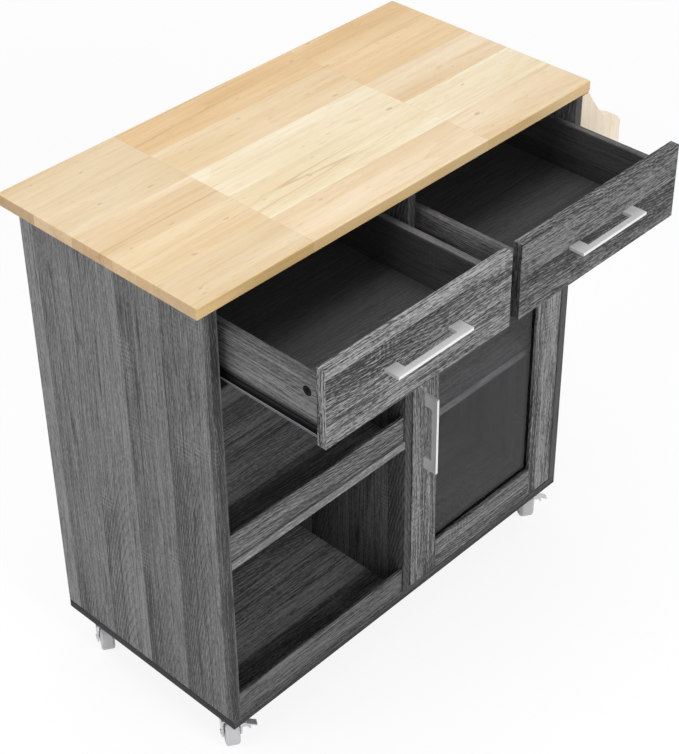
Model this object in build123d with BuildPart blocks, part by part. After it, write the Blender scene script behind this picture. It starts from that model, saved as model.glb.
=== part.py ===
"""A kitchen cart on casters: rubberwood worktop, two drawers on roller runners, an open bay with a
lipped shelf, a cabinet with a glass door on concealed hinges, and a towel rack on the right side.

Millimetres. Front is -Y, right is +X, up is +Z. The origin is on the floor, under the middle of the
carcass. The drawers stand pulled out, and the door is shut.
"""
import os
from math import cos, radians, sin

from build123d import *

os.makedirs("parts", exist_ok=True)

# Carcass
carcass_width = 764.0
carcass_depth = 380.0
carcass_height = 760.0  # underside of the base panel to underside of the worktop
board = 15.0  # thickness of every laminated board
board_ease = 0.6  # small chamfer on the boards' edges
caster_height = 65.0
back_board = 3.0
back_inset = 10.0  # from the rear edge of the side panels to the back panel
back_groove = 5.0

# Worktop
worktop_thickness = 18.0
worktop_side_overhang = 18.0
worktop_front_overhang = 0.0
worktop_rear_overhang = 20.0
worktop_edge_radius = 2.0

# Open bay and cabinet shelf
open_shelf_top = 328.0  # above the underside of the base panel
open_shelf_depth = 298.0
shelf_lip_height = 46.0
base_lip_height = 47.0
lip_thickness = 5.0
lip_setback = 3.0  # behind the carcass's front
cabinet_shelf_top = 312.0
cabinet_shelf_setback = 28.0
cabinet_shelf_gap = 1.0
shelf_pin_radius = 2.5
shelf_pin_length = 16.0
shelf_pin_inset = 45.0  # from the cabinet shelf's front and rear edge
pin_hole_gap = 0.1

# Drawers
drawer_open = 186.0  # how far they stand out
drawer_front_height = 121.0
drawer_top_gap = 3.0
drawer_front_gap = 2.0
drawer_side = 12.0
drawer_side_height = 88.5
drawer_side_drop = 30.0  # front's top edge to side's top edge
drawer_box_depth = 335.0
drawer_bottom = 3.0
drawer_bottom_rise = 10.0
drawer_groove = 5.0

# Cam fittings that hold the drawer sides to the front
cam_radius = 7.5
cam_depth = 10.0
cam_setback = 26.0
cam_drop = 25.0  # below the side's top edge
cam_slot_length = 9.0
cam_slot_width = 2.0
cam_slot_depth = 1.2

# Roller runners
runner_gap = 12.5  # bay wall to drawer side
runner_setback = 26.0  # behind the shut drawer front
runner_back_gap = 5.0  # to the back panel
runner_sheet = 1.2
runner_web_height = 15.0  # drawer runner's web above the side's lower edge
track_rise = 6.0  # underside of the track above the side's lower edge
runner_clear = 0.3
runner_side_clear = 0.5
roller_radius = 9.0
roller_width = 8.5
roller_inset = 12.0  # roller axis from the runner's end
roller_pin_radius = 2.0
roller_bore_gap = 0.3
upper_flange_reach = 6.0
runner_tab_length = 24.0  # rear tab that carries the drawer's roller
runner_tab_drop = 3.2

# Pull handles
handle_length = 144.0
handle_reach = 25.0
handle_leg = 22.0
handle_bar = 9.5
handle_thickness = 4.6
handle_corner = 0.4  # chamfer around the bar's front face
handle_rise = 4.0  # above the middle of the drawer front
door_handle_inset = 28.0  # from the door's left edge
door_handle_drop = 3.0  # below the middle of the door
screw_radius = 1.5
screw_hole_gap = 0.25
screw_head_radius = 4.0
screw_head_height = 2.6
screw_grip = 10.0
screw_hole_spare = 1.0

# Glass door
door_side_gap = 2.5
door_bottom_gap = 2.0
door_top_gap = 4.0
door_frame = 58.0
rebate_width = 8.0
rebate_front = 6.0  # front face of the door to the glass
glass_thickness = 4.0
glass_gap = 0.5
seal_thickness = 3.0

# Concealed hinges: a pin inside the cup, and a cranked arm on the side panel
hinge_from_end = 95.0  # hinge middle from the door's top and bottom
cup_radius = 17.4
cup_gap = 0.1
cup_depth = 12.3
cup_wall = 1.0
cup_from_edge = 22.5
cup_flange_radius = 19.5
cup_flange_length = 62.0
cup_flange_width = 16.0
cup_flange_thickness = 1.2
hinge_pin_radius = 1.5
hinge_pin_gap = 0.15
hinge_pin_from_edge = 14.0
hinge_pin_depth = 7.5  # behind the door's front face
hinge_eye_radius = 3.3
arm_height = 14.0
arm_sheet = 3.0
arm_neck_reach = 13.0  # pin to the middle of the neck
arm_crank_setback = 24.0  # pin to the middle of the crank
arm_plate_length = 50.0
arm_bend = 3.0

# Towel rack
rack_reach = 104.0
rack_board = 15.0
rack_top_drop = 2.0
rack_shoulder = 16.0
rack_waist_x = 58.0
rack_waist_drop = 56.0
rack_nose_drop = 83.0
rack_nose_height = 47.0
rack_foot_drop = 175.0
rack_foot_reach = 12.0
rack_cove_start = (0.62, -1)  # ways in which the bracket's three curves set off
rack_nose_start = (1, -0.12)
rack_heel_start = (-0.55, -1)
rail_radius = 11.0
rail_from_nose = 26.0
rail_drop = 106.0
rail_socket = 9.0
rail_gap = 0.1

# Casters
caster_side_inset = 30.0  # swivel axis from the carcass's side
caster_end_inset = 45.0  # swivel axis from the carcass's front and rear
caster_heading = 236.5  # way the wheels trail, in degrees from +X
caster_plate_margin = 5.5  # screw holes to the plate's edge
caster_plate_corner = 4.0
caster_plate_thickness = 2.5
caster_hole_spacing = 35.0
caster_screw_radius = 2.1
caster_screw_head_radius = 3.8
caster_screw_head_height = 2.0
caster_screw_grip = 11.0
caster_hole_gap = 0.3
race_radius = 14.0
race_height = 6.7
swivel_clear = 0.3
king_pin_radius = 4.0
king_head_radius = 7.0
king_head_height = 2.5
crown_radius = 16.0
crown_thickness = 3.0
fork_sheet = 2.5
fork_gap = 26.0  # between the arms
fork_front = 13.0
fork_rear = 26.0
fork_end_radius = 9.0
axle_radius = 3.0
axle_head_radius = 4.2
axle_head_height = 1.5
wheel_radius = 23.5
wheel_width = 22.0
wheel_trail = 15.0
wheel_shoulder = 4.0
wheel_hub_radius = 9.0
wheel_hub_width = 24.0
wheel_dish = 1.5
wheel_rim = 18.0
wheel_bore_gap = 0.3

# Brake pedal on the front casters' outer side
pedal_width = 11.0
pedal_pin_offset = 4.5  # fork arm's outer face to the pedal's pin
pedal_pin_drop = 28.0  # below the base panel
pedal_pin_radius = 1.5
pedal_pin_gap = 0.2
pedal_sleeve = 3.2
pedal_sheet = 2.2
pedal_ear_length = 21.0
pedal_ear_slope = -22.0
pedal_release_length = 15.0
pedal_release_slope = -52.0
pedal_toe_length = 9.0
pedal_toe_slope = 231.0
pedal_lug = 2.0
pedal_lug_radius = 4.0
pedal_side_clear = 0.4
pedal_window_top = 20.0
pedal_window_bottom = 36.5

# Levels and faces that follow from the sizes above
half_width = carcass_width / 2
y_front = -carcass_depth / 2
y_rear = carcass_depth / 2
z_under = caster_height
z_floor = z_under + board
z_roof = z_under + carcass_height
y_back_face = y_rear - back_inset - back_board
shelf_top = z_under + open_shelf_top
wall_left = -half_width + board
wall_right = half_width - board
bays = {"left": (wall_left, -board / 2), "right": (board / 2, wall_right)}

front_top = z_roof - drawer_top_gap
front_low = front_top - drawer_front_height
side_top = front_top - drawer_side_drop
side_low = side_top - drawer_side_height
y_drawer_face = y_front - drawer_open
y_box_front = y_drawer_face + board
y_box_rear = y_box_front + drawer_box_depth
z_drawer_floor = side_low + drawer_bottom_rise
z_handle = (front_low + front_top) / 2 + handle_rise

y_cabinet_roller = y_front + runner_setback + roller_inset
y_drawer_roller = y_box_rear - roller_inset
track_low = side_low + track_rise
z_roller = track_low - runner_clear - roller_radius
channel_low = z_roller - roller_radius - runner_clear - runner_sheet

door_left = bays["right"][0] + door_side_gap
door_right = bays["right"][1] - door_side_gap
door_low = z_floor + door_bottom_gap
door_top = front_low - door_top_gap
y_door_back = y_front + board
hinge_heights = [door_low + hinge_from_end, door_top - hinge_from_end]


def keep(piece, label):
    """Labels a finished piece and writes it under its own name."""
    piece.part.label = label
    export_step(piece.part, f"parts/{label}.step")


def add_block(x, y, z, mode=Mode.ADD):
    """Adds or cuts a block between two bounds on each axis, inside the open part."""
    with BuildSketch(Plane.XY.offset(z[0])) as outline:
        with Locations(((x[0] + x[1]) / 2, (y[0] + y[1]) / 2)):
            Rectangle(x[1] - x[0], y[1] - y[0])
    extrude(outline.sketch, amount=z[1] - z[0], mode=mode)


def make_board(x, y, z, ease=board_ease):
    """A laminated board between two bounds on each axis, with eased edges."""
    with BuildPart() as piece:
        add_block(x, y, z)
        if ease:
            chamfer(piece.edges(), ease)
    return piece


def y_plane(y):
    """The XZ plane at a depth, with X to the right and Z up, facing the front."""
    return Plane.XZ.offset(-y)


# Worktop
half_worktop = half_width + worktop_side_overhang
with BuildPart() as worktop:
    add_block(
        (-half_worktop, half_worktop),
        (y_front - worktop_front_overhang, y_rear + worktop_rear_overhang),
        (z_roof, z_roof + worktop_thickness),
    )
    fillet(worktop.edges().filter_by(Axis.Z), worktop_edge_radius)
    fillet(worktop.faces().sort_by(Axis.Z)[-1].edges(), worktop_edge_radius)
    chamfer(worktop.faces().sort_by(Axis.Z)[0].edges(), board_ease)
keep(worktop, "worktop")

# Base panel with the casters' screw holes
caster_spots = {
    "front_left": (-half_width + caster_side_inset, y_front + caster_end_inset),
    "front_right": (half_width - caster_side_inset, y_front + caster_end_inset),
    "rear_left": (-half_width + caster_side_inset, y_rear - caster_end_inset),
    "rear_right": (half_width - caster_side_inset, y_rear - caster_end_inset),
}
half_holes = caster_hole_spacing / 2
caster_plate = caster_hole_spacing + 2 * caster_plate_margin
screw_spots = [
    (x + dx, y + dy)
    for x, y in caster_spots.values()
    for dx in (-half_holes, half_holes)
    for dy in (-half_holes, half_holes)
]
with BuildPart() as base_panel:
    add_block((-half_width, half_width), (y_front, y_rear), (z_under, z_floor))
    chamfer(base_panel.edges(), board_ease)
    with BuildSketch(Plane.XY.offset(z_under)):
        with Locations(*screw_spots):
            Circle(caster_screw_radius + pin_hole_gap)
    extrude(amount=caster_screw_grip, mode=Mode.SUBTRACT)
keep(base_panel, "base_panel")

# Cabinet shelf and the pins that carry it
cabinet_top = z_under + cabinet_shelf_top
cabinet_low = cabinet_top - board
cabinet_x = (bays["right"][0] + cabinet_shelf_gap, bays["right"][1] - cabinet_shelf_gap)
cabinet_y = (y_front + cabinet_shelf_setback, y_back_face - cabinet_shelf_gap)
keep(make_board(cabinet_x, cabinet_y, (cabinet_low, cabinet_top)), "cabinet_shelf")

z_pin = cabinet_low - shelf_pin_radius
pin_rows = [(y, z_pin) for y in (cabinet_y[0] + shelf_pin_inset, cabinet_y[1] - shelf_pin_inset)]
half_pin = shelf_pin_length / 2
with BuildPart() as shelf_pins:
    for wall in bays["right"]:
        with BuildSketch(Plane.YZ.offset(wall - half_pin)):
            with Locations(*pin_rows):
                Circle(shelf_pin_radius)
        extrude(amount=shelf_pin_length)
keep(shelf_pins, "shelf_pins")


def cut_pin_holes(wall):
    """Cuts the shelf pins' holes into the open panel, both ways from a bay wall."""
    hole_depth = half_pin + pin_hole_gap
    with BuildSketch(Plane.YZ.offset(wall)) as outline:
        with Locations(*pin_rows):
            Circle(shelf_pin_radius + pin_hole_gap)
    extrude(outline.sketch, amount=hole_depth, both=True, mode=Mode.SUBTRACT)


# Side panels, with the back panel's groove
back_y = (y_back_face, y_back_face + back_board)
for side, wall, outer in (("left", wall_left, -half_width), ("right", wall_right, half_width)):
    inward = 1 if side == "left" else -1
    groove_x = sorted((wall - inward * back_groove, wall))
    with BuildPart() as side_panel:
        add_block(sorted((wall, outer)), (y_front, y_rear), (z_floor, z_roof))
        chamfer(side_panel.edges(), board_ease)
        add_block(groove_x, back_y, (z_floor, z_roof), mode=Mode.SUBTRACT)
        if side == "right":
            cut_pin_holes(wall)
    keep(side_panel, f"{side}_side_panel")

with BuildPart() as centre_divider:
    add_block((-board / 2, board / 2), (y_front, y_back_face), (z_floor, z_roof))
    chamfer(centre_divider.edges(), board_ease)
    cut_pin_holes(bays["right"][0])
keep(centre_divider, "centre_divider")

back_x = (wall_left - back_groove, wall_right + back_groove)
keep(make_board(back_x, back_y, (z_floor, z_roof), ease=0), "back_panel")

# Open bay
bay_x = bays["left"]
lip_y = (y_front + lip_setback, y_front + lip_setback + lip_thickness)
shelf_y = (y_front, y_front + open_shelf_depth)
keep(make_board(bay_x, shelf_y, (shelf_top - board, shelf_top)), "open_shelf")
keep(make_board(bay_x, lip_y, (shelf_top, shelf_top + shelf_lip_height)), "shelf_lip")
keep(make_board(bay_x, lip_y, (z_floor, z_floor + base_lip_height)), "base_lip")


def handle_outline():
    """The flat U of a pull in the open sketch: feet on the X axis, the bar at handle_reach."""
    with Locations((0, handle_reach / 2)):
        Rectangle(handle_length, handle_reach)
    with Locations((0, (handle_reach - handle_bar) / 2)):
        Rectangle(handle_length - 2 * handle_leg, handle_reach - handle_bar, mode=Mode.SUBTRACT)


handle_screw_offset = (handle_length - handle_leg) / 2
handle_hole_depth = screw_grip + screw_hole_spare


def make_handle(middle, along):
    """A pull whose feet stand on a face towards the front, with its length along a direction."""
    flat = Vector(0, -1, 0).cross(Vector(*along)) * -1
    body_plane = Plane(origin=middle, x_dir=along, z_dir=flat)
    foot_plane = Plane(origin=middle, x_dir=along, z_dir=(0, -1, 0))
    outward = body_plane.y_dir.Y
    with BuildPart() as handle:
        with BuildSketch(body_plane):
            handle_outline()
        extrude(amount=handle_thickness / 2, both=True)
        front_face = handle.faces().sort_by(Axis.Y)[0 if outward < 0 else -1]
        chamfer(front_face.edges(), handle_corner)
        with BuildSketch(foot_plane):
            with Locations((-handle_screw_offset, 0), (handle_screw_offset, 0)):
                Circle(screw_radius)
        extrude(amount=handle_hole_depth, mode=Mode.SUBTRACT)
    return handle


def add_handle_screws(middle, along):
    """Screws through a board into a pull's feet, with their heads behind it."""
    rear = (middle[0], middle[1] + board, middle[2])
    spots = [(-handle_screw_offset, 0), (handle_screw_offset, 0)]
    with BuildSketch(Plane(origin=rear, x_dir=along, z_dir=(0, -1, 0))) as outline:
        with Locations(*spots):
            Circle(screw_radius - screw_hole_gap)
    extrude(outline.sketch, amount=board + screw_grip)
    with BuildSketch(Plane(origin=rear, x_dir=along, z_dir=(0, 1, 0))) as outline:
        with Locations(*spots):
            Circle(screw_head_radius)
    extrude(outline.sketch, amount=screw_head_height)


def cut_handle_holes(middle, along):
    """Clearance holes for the pull's screws, through the open board."""
    with BuildSketch(Plane(origin=middle, x_dir=along, z_dir=(0, 1, 0))) as outline:
        with Locations((-handle_screw_offset, 0), (handle_screw_offset, 0)):
            Circle(screw_radius + screw_hole_gap)
    extrude(outline.sketch, amount=board, mode=Mode.SUBTRACT)


def add_strip(wall, inward, near, far, low, high):
    """A rectangle of a runner's section: reach from the bay wall and height, in the open sketch."""
    ends = sorted((wall + inward * near, wall + inward * far))
    with Locations(((ends[0] + ends[1]) / 2, (low + high) / 2)):
        Rectangle(ends[1] - ends[0], high - low)


def add_roller_pin(start, inward, length, y):
    """A roller's pin along X, from a sheet's face."""
    with BuildSketch(Plane(origin=(start, y, z_roller), x_dir=(0, 1, 0), z_dir=(inward, 0, 0))) as outline:
        Circle(roller_pin_radius)
    extrude(outline.sketch, amount=length)


web_face = runner_gap - runner_sheet
lower_flange_reach = web_face - runner_side_clear
channel_top = track_low + runner_sheet
roller_start = (runner_sheet + web_face - roller_width) / 2
roller_end = roller_start + roller_width
y_channel_front = y_front + runner_setback
y_channel_rear = y_back_face - runner_back_gap

for side, (low_wall, high_wall) in bays.items():
    walls = ((low_wall, 1), (high_wall, -1))
    box_left = low_wall + runner_gap
    box_right = high_wall - runner_gap
    inner_x = (box_left + drawer_side, box_right - drawer_side)
    floor_z = (z_drawer_floor, z_drawer_floor + drawer_bottom)
    groove_x = (inner_x[0] - drawer_groove, inner_x[1] + drawer_groove)
    groove_y = (y_box_front - drawer_groove, y_box_rear)
    handle_middle = ((low_wall + high_wall) / 2, y_drawer_face, z_handle)
    z_cam = side_top - cam_drop
    y_cam = y_box_front + cam_setback

    # Drawer front
    with BuildPart() as drawer_front:
        add_block(
            (low_wall + drawer_front_gap, high_wall - drawer_front_gap),
            (y_drawer_face, y_box_front),
            (front_low, front_top),
        )
        chamfer(drawer_front.edges(), board_ease)
        add_block(groove_x, groove_y, floor_z, mode=Mode.SUBTRACT)
        cut_handle_holes(handle_middle, (1, 0, 0))
    keep(drawer_front, f"{side}_drawer_front")

    # Drawer sides, with a cam pocket in each outer face
    for hand, outer, inner, inward in (
        ("left", box_left, inner_x[0], 1),
        ("right", box_right, inner_x[1], -1),
    ):
        pocket_plane = Plane(origin=(outer, y_cam, z_cam), x_dir=(0, 1, 0), z_dir=(inward, 0, 0))
        with BuildPart() as drawer_wall:
            add_block(sorted((outer, inner)), (y_box_front, y_box_rear), (side_low, side_top))
            chamfer(drawer_wall.edges(), board_ease)
            add_block(groove_x, groove_y, floor_z, mode=Mode.SUBTRACT)
            with BuildSketch(pocket_plane):
                Circle(cam_radius)
            extrude(amount=cam_depth, mode=Mode.SUBTRACT)
        keep(drawer_wall, f"{side}_drawer_{hand}_side")

    back_z = (floor_z[1], side_top)
    keep(make_board(inner_x, (y_box_rear - drawer_side, y_box_rear), back_z), f"{side}_drawer_back")
    keep(make_board(groove_x, groove_y, floor_z, ease=0), f"{side}_drawer_bottom")
    keep(make_handle(handle_middle, (1, 0, 0)), f"{side}_drawer_handle")

    # Cam discs and handle screws
    with BuildPart() as drawer_fasteners:
        for outer, inward in ((box_left, 1), (box_right, -1)):
            cam_plane = Plane(origin=(outer, y_cam, z_cam), x_dir=(0, 1, 0), z_dir=(inward, 0, 0))
            with BuildSketch(cam_plane):
                Circle(cam_radius - pin_hole_gap)
            extrude(amount=cam_depth)
            with BuildSketch(cam_plane):
                Rectangle(cam_slot_length, cam_slot_width)
                Rectangle(cam_slot_width, cam_slot_length)
            extrude(amount=cam_slot_depth, mode=Mode.SUBTRACT)
        add_handle_screws(handle_middle, (1, 0, 0))
    keep(drawer_fasteners, f"{side}_drawer_fasteners")

    # Channel runners on the bay walls, each with a roller pin at its front end
    with BuildPart() as cabinet_runners:
        for wall, inward in walls:
            with BuildSketch(y_plane(y_channel_rear)):
                add_strip(wall, inward, 0, runner_sheet, channel_low, channel_top)
                add_strip(wall, inward, 0, lower_flange_reach, channel_low, channel_low + runner_sheet)
                add_strip(wall, inward, 0, upper_flange_reach, track_low, channel_top)
            extrude(amount=y_channel_rear - y_channel_front)
            add_roller_pin(wall + inward * runner_sheet, inward, roller_end - runner_sheet, y_cabinet_roller)
    keep(cabinet_runners, f"{side}_cabinet_runners")

    # Runners on the drawer sides: web, ledge under the side, and the track that rides on the roller
    with BuildPart() as drawer_runners:
        for wall, inward in walls:
            web_low = side_low - runner_sheet
            with BuildSketch(y_plane(y_box_rear)):
                add_strip(wall, inward, web_face, runner_gap, web_low, side_low + runner_web_height)
                add_strip(wall, inward, web_face, runner_gap + drawer_side, web_low, side_low)
                add_strip(
                    wall, inward, upper_flange_reach + runner_side_clear, runner_gap,
                    track_low, track_low + runner_sheet,
                )
            extrude(amount=drawer_box_depth)
            with BuildSketch(y_plane(y_box_rear)):
                add_strip(wall, inward, web_face, runner_gap, z_roller - runner_tab_drop, web_low)
            extrude(amount=runner_tab_length)
            pin_start = wall + inward * web_face
            add_roller_pin(pin_start, -inward, web_face - roller_start, y_drawer_roller)
    keep(drawer_runners, f"{side}_drawer_runners")

    # Rollers: the front pair turns on the carcass, the rear pair on the drawer
    for owner, y_axis in (("cabinet", y_cabinet_roller), ("drawer", y_drawer_roller)):
        with BuildPart() as rollers:
            for wall, inward in walls:
                start = wall + inward * roller_start
                roller_plane = Plane(
                    origin=(start, y_axis, z_roller), x_dir=(0, 1, 0), z_dir=(inward, 0, 0)
                )
                with BuildSketch(roller_plane):
                    Circle(roller_radius)
                    Circle(roller_pin_radius + roller_bore_gap, mode=Mode.SUBTRACT)
                extrude(amount=roller_width)
        keep(rollers, f"{side}_{owner}_rollers")

# Door frame: full-height stiles, rails between, and a rebate for the glass behind
glass_x = (door_left + door_frame - rebate_width, door_right - door_frame + rebate_width)
glass_z = (door_low + door_frame - rebate_width, door_top - door_frame + rebate_width)
rebate_y = (y_front + rebate_front, y_door_back)
door_handle_middle = (
    door_left + door_handle_inset, y_front, (door_low + door_top) / 2 - door_handle_drop
)
x_cup = door_right - cup_from_edge
stiles = {"left": (door_left, door_left + door_frame), "right": (door_right - door_frame, door_right)}
for side, stile_x in stiles.items():
    with BuildPart() as stile:
        add_block(stile_x, (y_front, y_door_back), (door_low, door_top))
        chamfer(stile.edges(), board_ease)
        add_block(glass_x, rebate_y, glass_z, mode=Mode.SUBTRACT)
        if side == "left":
            cut_handle_holes(door_handle_middle, (0, 0, 1))
        else:
            with BuildSketch(y_plane(y_door_back)):
                with Locations(*[(x_cup, z) for z in hinge_heights]):
                    Circle(cup_radius + cup_gap)
            extrude(amount=cup_depth + cup_gap, mode=Mode.SUBTRACT)
    keep(stile, f"door_{side}_stile")

rail_x = (stiles["left"][1], stiles["right"][0])
rail_heights = {"bottom": (door_low, door_low + door_frame), "top": (door_top - door_frame, door_top)}
for name, rail_z in rail_heights.items():
    with BuildPart() as door_rail:
        add_block(rail_x, (y_front, y_door_back), rail_z)
        chamfer(door_rail.edges(), board_ease)
        add_block(glass_x, rebate_y, glass_z, mode=Mode.SUBTRACT)
    keep(door_rail, f"door_{name}_rail")

pane_x = (glass_x[0] + glass_gap, glass_x[1] - glass_gap)
pane_z = (glass_z[0] + glass_gap, glass_z[1] - glass_gap)
y_seal = rebate_y[0] + glass_thickness
keep(make_board(pane_x, (rebate_y[0], y_seal), pane_z, ease=0), "door_glass")
with BuildPart() as glass_seal:
    add_block(glass_x, (y_seal, y_seal + seal_thickness), glass_z)
    add_block(
        (glass_x[0] + rebate_width, glass_x[1] - rebate_width),
        (y_seal, y_seal + seal_thickness),
        (glass_z[0] + rebate_width, glass_z[1] - rebate_width),
        mode=Mode.SUBTRACT,
    )
keep(glass_seal, "glass_seal")
keep(make_handle(door_handle_middle, (0, 0, 1)), "door_handle")
with BuildPart() as door_handle_screws:
    add_handle_screws(door_handle_middle, (0, 0, 1))
keep(door_handle_screws, "door_handle_screws")

# Hinge cups in the right stile, each with its pin
x_hinge = door_right - hinge_pin_from_edge
y_hinge = y_front + hinge_pin_depth
cup_inner = cup_radius - cup_wall
pin_far_side = cup_from_edge - hinge_pin_from_edge + hinge_pin_radius
pin_half = (cup_radius**2 - pin_far_side**2) ** 0.5
with BuildPart() as hinge_cups:
    for z in hinge_heights:
        with BuildSketch(y_plane(y_door_back)):
            with Locations((x_cup, z)):
                Circle(cup_radius)
        extrude(amount=cup_depth)
        with BuildSketch(y_plane(y_door_back + cup_flange_thickness)):
            with Locations((x_cup, z)):
                Circle(cup_flange_radius)
                SlotOverall(cup_flange_length, cup_flange_width, rotation=90)
        extrude(amount=cup_flange_thickness)
        with BuildSketch(y_plane(y_door_back + cup_flange_thickness)):
            with Locations((x_cup, z)):
                Circle(cup_inner)
        extrude(amount=cup_flange_thickness + cup_depth - cup_wall, mode=Mode.SUBTRACT)
        with BuildSketch(Plane(origin=(x_hinge, y_hinge, z))):
            Circle(hinge_pin_radius)
        extrude(amount=pin_half, both=True)
keep(hinge_cups, "hinge_cups")

# Hinge arms: an eye on the pin, a neck out of the cup, a crank, and a plate on the side panel
x_neck = x_hinge - arm_neck_reach
y_crank = y_hinge + arm_crank_setback
x_plate = wall_right - arm_sheet / 2
with BuildPart() as hinge_arms:
    for z in hinge_heights:
        with BuildSketch(Plane.XY.offset(z)):
            with BuildLine():
                FilletPolyline(
                    (x_hinge, y_hinge),
                    (x_neck, y_hinge),
                    (x_neck, y_crank),
                    (x_plate, y_crank),
                    (x_plate, y_crank + arm_plate_length),
                    radius=arm_bend,
                )
            trace(line_width=arm_sheet)
            with Locations((x_hinge, y_hinge)):
                Circle(hinge_eye_radius)
                Circle(hinge_pin_radius + hinge_pin_gap, mode=Mode.SUBTRACT)
        extrude(amount=arm_height / 2, both=True)
keep(hinge_arms, "hinge_arms")

# Towel rack: an ogee bracket at each end and a round rail in blind sockets
rack_root = half_width
rack_nose = half_width + rack_reach
rack_top = z_roof - rack_top_drop
rack_waist = (rack_root + rack_waist_x, rack_top - rack_waist_drop)
rack_nose_top = rack_top - rack_nose_drop
rack_nose_low = rack_nose_top - rack_nose_height
rack_foot = rack_top - rack_foot_drop
rail_middle = (rack_nose - rail_from_nose, rack_top - rail_drop)


def make_bracket(y_low, socket_from, socket_to):
    """A rack bracket from y_low, with the rail's blind socket between two depths."""
    with BuildPart() as bracket:
        with BuildSketch(y_plane(y_low + rack_board)):
            with BuildLine():
                head = Line((rack_root, rack_top), (rack_root + rack_shoulder, rack_top))
                cove = TangentArc(head @ 1, rack_waist, tangent=rack_cove_start)
                nose = TangentArc(cove @ 1, (rack_nose, rack_nose_top), tangent=rack_nose_start)
                end = Line(nose @ 1, (rack_nose, rack_nose_low))
                heel = TangentArc(end @ 1, (rack_root + rack_foot_reach, rack_foot), tangent=rack_heel_start)
                foot = Line(heel @ 1, (rack_root, rack_foot))
                Line(foot @ 1, head @ 0)
            make_face()
        extrude(amount=rack_board)
        with BuildSketch(y_plane(socket_to)):
            with Locations(rail_middle):
                Circle(rail_radius + rail_gap)
        extrude(amount=socket_to - socket_from, mode=Mode.SUBTRACT)
    return bracket


front_bracket_rear = y_front + rack_board
rear_bracket_front = y_rear - rack_board
rail_front = front_bracket_rear - rail_socket
rail_rear = rear_bracket_front + rail_socket
keep(make_bracket(y_front, rail_front, front_bracket_rear), "rack_front_bracket")
keep(make_bracket(rear_bracket_front, rear_bracket_front, rail_rear), "rack_rear_bracket")
with BuildPart() as rack_rail:
    with BuildSketch(y_plane(rail_rear)):
        with Locations(rail_middle):
            Circle(rail_radius)
    extrude(amount=rail_rear - rail_front)
keep(rack_rail, "rack_rail")

# Caster plates, each with its race and king pin, and the screws through them
z_plate = z_under - caster_plate_thickness
z_race = z_plate - race_height
z_crown = z_race - swivel_clear
z_bridge = z_crown - crown_thickness
z_king_head = z_bridge - swivel_clear
with BuildPart() as caster_plates:
    for level, top, shape in (
        (z_plate, z_under, "plate"),
        (z_race, z_plate, "race"),
        (z_king_head, z_race, "pin"),
        (z_king_head - king_head_height, z_king_head, "head"),
    ):
        with BuildSketch(Plane.XY.offset(level)):
            with Locations(*caster_spots.values()):
                if shape == "plate":
                    RectangleRounded(caster_plate, caster_plate, caster_plate_corner)
                elif shape == "race":
                    Circle(race_radius)
                elif shape == "pin":
                    Circle(king_pin_radius)
                else:
                    Circle(king_head_radius)
        extrude(amount=top - level)
    with BuildSketch(Plane.XY.offset(z_plate)):
        with Locations(*screw_spots):
            Circle(caster_screw_radius + caster_hole_gap)
    extrude(amount=caster_plate_thickness, mode=Mode.SUBTRACT)
keep(caster_plates, "caster_plates")

with BuildPart() as caster_screws:
    with BuildSketch(Plane.XY.offset(z_plate)):
        with Locations(*screw_spots):
            Circle(caster_screw_radius)
    extrude(amount=caster_plate_thickness + caster_screw_grip)
    with BuildSketch(Plane.XY.offset(z_plate)):
        with Locations(*screw_spots):
            Circle(caster_screw_head_radius)
    extrude(amount=-caster_screw_head_height)
keep(caster_screws, "caster_screws")

# Casters. Each has its own frame: x along the trail, y along the axle to the pedal's side, z up
trail_way = (cos(radians(caster_heading)), sin(radians(caster_heading)), 0)
z_axle = wheel_radius - z_under
arm_outer = fork_gap / 2 + fork_sheet
bridge_local = z_bridge - z_under
pedal_axis = (arm_outer + pedal_pin_offset, -pedal_pin_drop)
half_pedal = pedal_width / 2
lug_start = half_pedal + pedal_side_clear


def side_view(frame, y):
    """The caster's side view at a place along its axle, with the trail to the right."""
    origin = frame.from_local_coords((0, y, 0))
    return Plane(origin=origin, x_dir=frame.x_dir, z_dir=frame.y_dir * -1)


def end_view(frame, x):
    """The caster's end view at a place along its trail, with the axle to the right."""
    origin = frame.from_local_coords((x, 0, 0))
    return Plane(origin=origin, x_dir=frame.y_dir, z_dir=frame.x_dir)


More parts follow.
